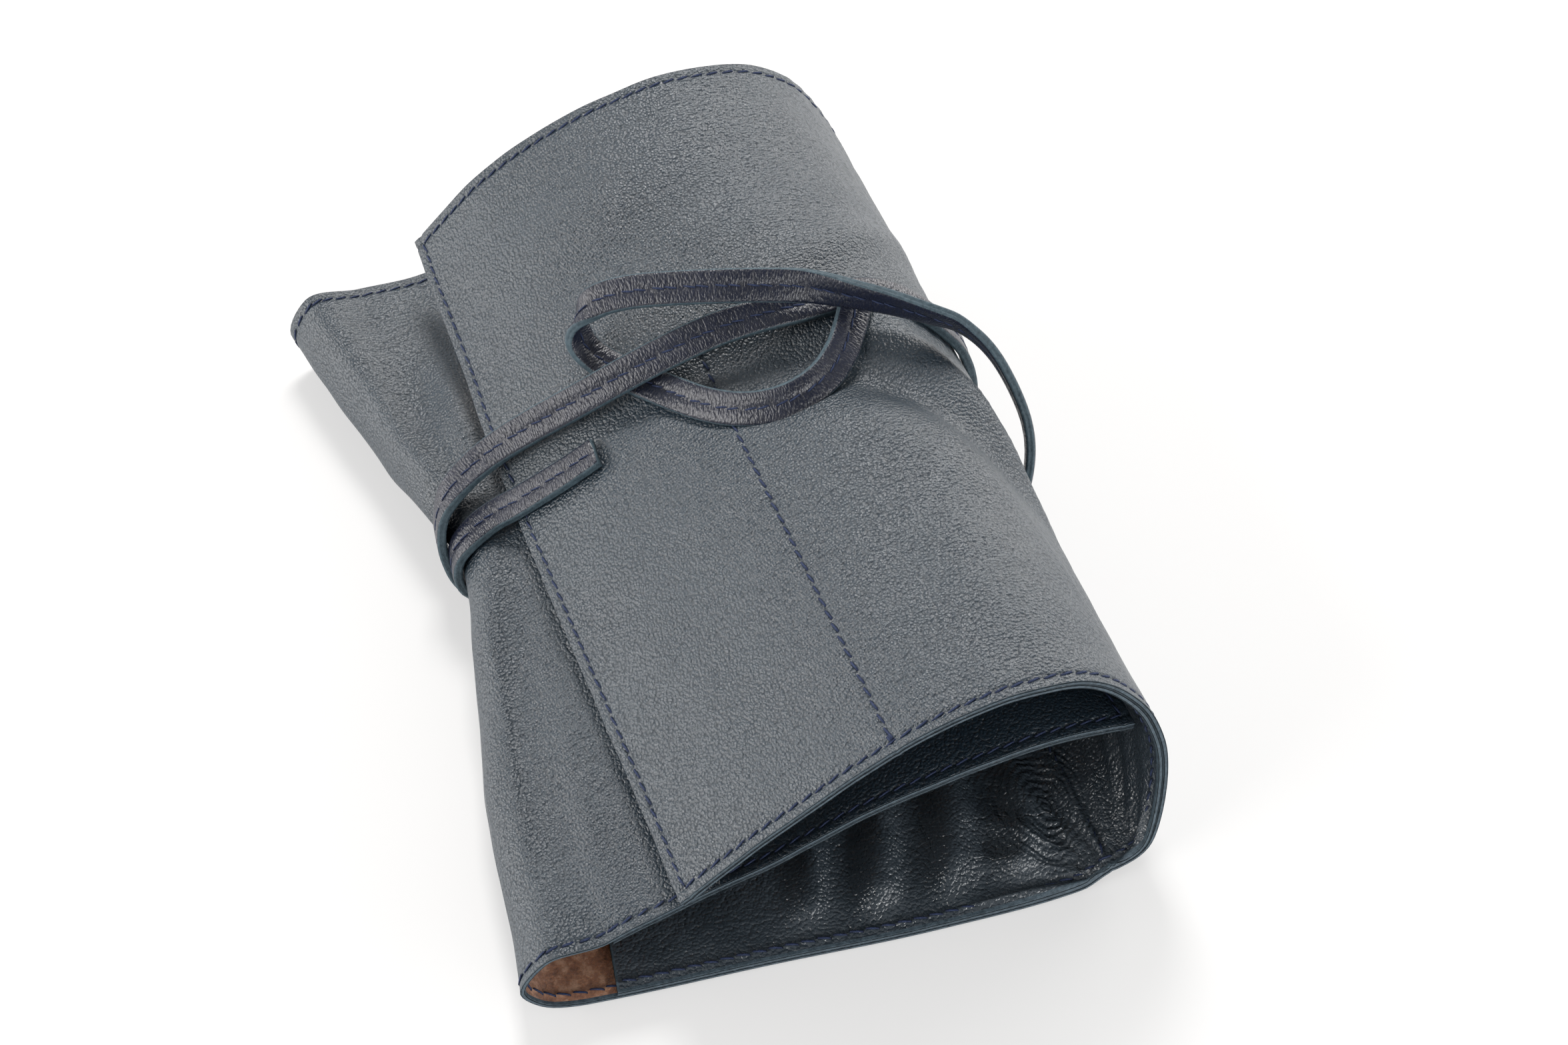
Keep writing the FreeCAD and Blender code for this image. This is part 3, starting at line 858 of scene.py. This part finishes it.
def divider_threads():
    stands_for = {"flap": "divider_seam_flap", "side": "divider_seam_base"}
    for part, s in DIVIDERS.items():
        rows = seam_along_y(s, SEAM_INSET + DIVIDER_START, POCKET_DEPTH, lambda y: POCKET_BOTTOM)
        rows += backtack(s, SEAM_INSET + KNOT_START) + backtack(s, POCKET_DEPTH - KNOT_END)
        piece = place(leather_stitches(f"divider_stitches_{part}", rows), part)
        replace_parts(piece, stands_for[part])


# ==================================================================================================
# Strap
# ==================================================================================================
STRAP_STEP = 1.5               # between the rings of the strap
ROUTE_ORDER, ROUTE_FINENESS = 3, 16
WOBBLE, WOBBLE_LENGTH = 0.075, 9  # how uneven the strap's edges are: height, and length in rings
WOBBLE_SEED = 11
CREASE_STRETCH, GRAIN_WIDTH = 1.6, 0.7
RAW_EDGE = 0.3                 # how far the edge dye reaches on to the strap's faces
STRAP_STITCH_SLANT, STRAP_STITCH_SINK = 0.16, 0.22


def route_line():
    """Points on the strap's centre line, a smooth curve led by ROUTE."""
    curve = bpy.data.curves.new("strap_route", "CURVE")
    curve.dimensions = "3D"
    curve.resolution_u = ROUTE_FINENESS
    spline = curve.splines.new("NURBS")
    spline.points.add(len(ROUTE) - 1)
    for point, place_at in zip(spline.points, ROUTE):
        point.co = (*((np.array(place_at, float) - MIDDLE) * MM), 1.0)
    spline.order_u = ROUTE_ORDER
    spline.use_endpoint_u = True
    holder = bpy.data.objects.new("strap_route", curve)
    mesh = bpy.data.meshes.new_from_object(holder)
    line = np.array([v.co for v in mesh.vertices], float) / MM
    bpy.data.objects.remove(holder)
    bpy.data.curves.remove(curve)
    bpy.data.meshes.remove(mesh)
    return line


def way_along(line):
    """How far each point of a line is from its start, along it."""
    return np.concatenate([[0.0], np.cumsum(np.linalg.norm(np.diff(line, axis=0), axis=1))])


def blended(at, keys, values):
    """Rows of values, given at keys, taken at the places at."""
    return np.stack([np.interp(at, keys, values[:, axis]) for axis in range(3)], axis=1)


def evenly(line, step):
    """Points step apart along the line, and the share of the line's list at which each is."""
    lengths = way_along(line)
    wanted = np.linspace(0, lengths[-1], round(lengths[-1] / step) + 1)
    index = np.interp(wanted, lengths, np.arange(len(line)))
    return blended(wanted, lengths, line), index / (len(line) - 1)


def width_ways(share):
    """The direction of the strap's width at each share of the route."""
    keys = sorted(WIDTHS)
    ways = unit(np.array([WIDTHS[k] for k in keys], float))
    return blended(share * (len(ROUTE) - 1), keys, ways)


def strap_ring():
    """(across, out) round the strap's section: soft faces, with a groove between raw edges on each side."""
    a, b = STRAP_WIDTH / 2, STRAP_THICK / 2
    face = [
        (-a + 0.25, b - 0.10), (-a + 0.9, b), (-1.6, b - 0.02), (-0.55, b - 0.12), (0.0, b - 0.34),
        (0.55, b - 0.12), (1.6, b - 0.02), (a - 1.0, b), (a - 0.35, b - 0.22), (a - 0.04, b - 0.5),
    ]
    first_edge = [(a + 0.02, 0.32), (a - 0.28, 0.0), (a + 0.02, -0.32)]
    second_edge = [(-a - 0.02, -0.42), (-a + 0.22, 0.0), (-a - 0.02, 0.42)]
    return face + first_edge + [(x, -z) for x, z in reversed(face)] + second_edge


def strap_frames():
    """The strap's line, and the ways along it, across it and out of its face at each point."""
    line, share = evenly(route_line(), STRAP_STEP)
    tangent = unit(np.gradient(line, axis=0))
    width = width_ways(share)
    width = unit(width - tangent * np.sum(width * tangent, axis=1, keepdims=True))
    return line, tangent, width, np.cross(tangent, width)


def strap_points(line, width, thick, ring):
    """The section set up at each point of the line, a little uneven from side to side."""
    rng = np.random.default_rng(WOBBLE_SEED)
    even = np.ones(WOBBLE_LENGTH) / WOBBLE_LENGTH
    wobble = np.convolve(rng.normal(0, 1, len(line)), even, "same") * WOBBLE
    across, out = (np.array(ring)[None, :, axis, None] for axis in range(2))
    points = line[:, None] + width[:, None] * (across + wobble[:, None, None]) + thick[:, None] * out
    return points.reshape(-1, 3)


def strap_faces(rings, ring):
    """The faces round the strap and over its two ends, and which of them are edges (1) or not (0)."""
    size = len(ring)
    after = [(j + 1) % size for j in range(size)]
    starts = range(0, (rings - 1) * size, size)
    faces = [(k + j, k + j + size, k + n + size, k + n) for k in starts for j, n in enumerate(after)]
    middles = [abs(ring[j][0] + ring[n][0]) / 2 for j, n in enumerate(after)]
    kinds = [int(middle > STRAP_WIDTH / 2 - RAW_EDGE) for middle in middles] * (rings - 1)
    last = (rings - 1) * size
    return faces + [tuple(range(size)), tuple(reversed(range(last, last + size)))], kinds + [1, 1]


def give_strap_place(mesh, line, ring):
    """Places in metres along and across the strap, squeezed lengthwise so that its creases run across it."""
    along_it = np.repeat(way_along(line) * CREASE_STRETCH, len(ring))
    across, out = np.tile(np.array(ring).T, len(line))
    values = np.stack([along_it, across * GRAIN_WIDTH, out], axis=1) * MM
    attribute = mesh.attributes.new("strap_place", "FLOAT_VECTOR", "POINT")
    attribute.data.foreach_set("vector", values.ravel().astype(np.float32))


def strap_piece():
    line, _, width, thick = strap_frames()
    ring = strap_ring()
    faces, kinds = strap_faces(len(line), ring)
    points = strap_points(line, width, thick, ring)
    piece = mesh_object("strap_leather", points, faces, [STRAP, STRAP_EDGE], kinds)
    give_strap_place(piece.data, line, ring)
    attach(piece, "flap")
    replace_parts(piece, "strap", "strap_tab")
    return piece


def strap_stitches():
    line, tangent, width, thick = strap_frames()
    places = np.arange(2, len(line) - 2, STITCH_PITCH / STRAP_STEP).astype(int)
    ways = (tangent + STRAP_STITCH_SLANT * width)[places]
    out = thick[places]
    depth = STRAP_THICK / 2 - STRAP_STITCH_SINK
    centres = [line[places] + out * depth, line[places] - out * depth]
    piece = stitches_mesh("strap_stitches", centres, [ways, ways], [out, -out], radius=STRAP_STITCH_RADIUS)
    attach(piece, "flap")
    return piece


def flatten_with_flap(piece):
    """Gives the piece its own copy of its mesh."""
    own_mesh(piece)


# ==================================================================================================
# Stage
# ==================================================================================================
LOOK_DOWN, TURN = math.radians(52), math.radians(20)
CAMERA_PLACE = Vector((-69.1, -343.8, 620.0))  # from the CAD model's zero, in millimetres
LENS, SENSOR, NEAREST = 72.0, 36.0, 0.01
FLOOR_HALF, FLOOR_Z = 6.0, -0.0002
# the room's strength, from the camera's side to the far side
ROOM = {"From Min": -0.45, "From Max": 0.35, "To Min": 0.14, "To Max": 0.50}
WARM, MILD, SOFT = (1.0, 0.97, 0.94), (1.0, 0.98, 0.96), (1.0, 0.98, 0.95)
WHITE = (1.0, 1.0, 1.0)
# name, place, target, size, power in watts, colour
LIGHTS = [
    ("left_low", (-1.6, 0.8, 0.30), (0, 0, 0.03), (1.8, 0.34), 16.0, WARM),
    ("left_side", (-1.6, -0.15, 0.85), (0, 0, 0.03), (1.2, 0.8), 17.0, MILD),
    ("back_high", (0.2, 0.72, 0.88), (0, 0, 0.05), (0.35, 0.3), 8.5, MILD),
    ("right_back", (1.3, 0.8, 0.45), (0, 0, 0.03), (0.9, 0.5), 11.0, SOFT),
    ("right_front", (1.3, -0.8, 0.5), (0, 0, 0.03), (0.6, 0.5), 4.0, WHITE),
    ("front_low", (0.45, -1.4, 0.45), (0, 0, 0.02), (1.4, 0.3), 12.0, WHITE),
]


def camera():
    right = Vector((math.cos(TURN), -math.sin(TURN), 0))
    level_ahead = Vector((math.sin(TURN), math.cos(TURN), 0))
    ahead = level_ahead * math.cos(LOOK_DOWN) - Vector((0, 0, math.sin(LOOK_DOWN)))
    up = right.cross(ahead)
    data = bpy.data.cameras.new("camera")
    data.lens = LENS
    data.sensor_width = SENSOR
    data.clip_start = NEAREST
    made = bpy.data.objects.new("camera", data)
    turned = Matrix((right, up, -ahead)).transposed().to_4x4()
    made.matrix_world = Matrix.Translation((CAMERA_PLACE - Vector(MIDDLE)) * MM) @ turned
    bpy.context.collection.objects.link(made)
    bpy.context.scene.camera = made


def area_light(name, place_at, target, size, power, colour):
    data = bpy.data.lights.new(name, "AREA")
    data.shape = "RECTANGLE"
    data.size, data.size_y = size
    data.energy = power
    data.color = colour
    made = bpy.data.objects.new(name, data)
    made.location = place_at
    made.rotation_euler = (Vector(target) - Vector(place_at)).to_track_quat("-Z", "Y").to_euler()
    bpy.context.collection.objects.link(made)


def room():
    """A white room, darker on the camera's side."""
    world = bpy.context.scene.world or bpy.data.worlds.new("world")
    bpy.context.scene.world = world
    world.use_nodes = True
    tree = world.node_tree
    coordinates = tree.nodes.new("ShaderNodeTexCoord")
    parts = tree.nodes.new("ShaderNodeSeparateXYZ")
    strength = tree.nodes.new("ShaderNodeMapRange")
    strength.interpolation_type = "SMOOTHSTEP"
    for name, value in ROOM.items():
        strength.inputs[name].default_value = value
    tree.links.new(coordinates.outputs["Generated"], parts.inputs[0])
    tree.links.new(parts.outputs["Y"], strength.inputs["Value"])
    tree.links.new(strength.outputs[0], tree.nodes["Background"].inputs["Strength"])
    tree.nodes["Background"].inputs["Color"].default_value = (*WHITE, 1.0)


def stage():
    mesh = bpy.data.meshes.new("stage_floor")
    r = FLOOR_HALF
    mesh.from_pydata([(-r, -r, 0), (r, -r, 0), (r, r, 0), (-r, r, 0)], [], [(0, 1, 2, 3)])
    mesh.materials.append(floor_material())
    floor = bpy.data.objects.new("stage_floor", mesh)
    floor.location.z = FLOOR_Z
    bpy.context.collection.objects.link(floor)
    room()
    for light in LIGHTS:
        area_light(*light)
    bpy.context.scene.view_settings.view_transform = "Standard"


def main():
    camera()
    stage()
    cover_pieces()
    pocket_pieces()
    edge_threads()
    divider_threads()
    for piece in (strap_piece(), strap_stitches()):
        flatten_with_flap(piece)


main()
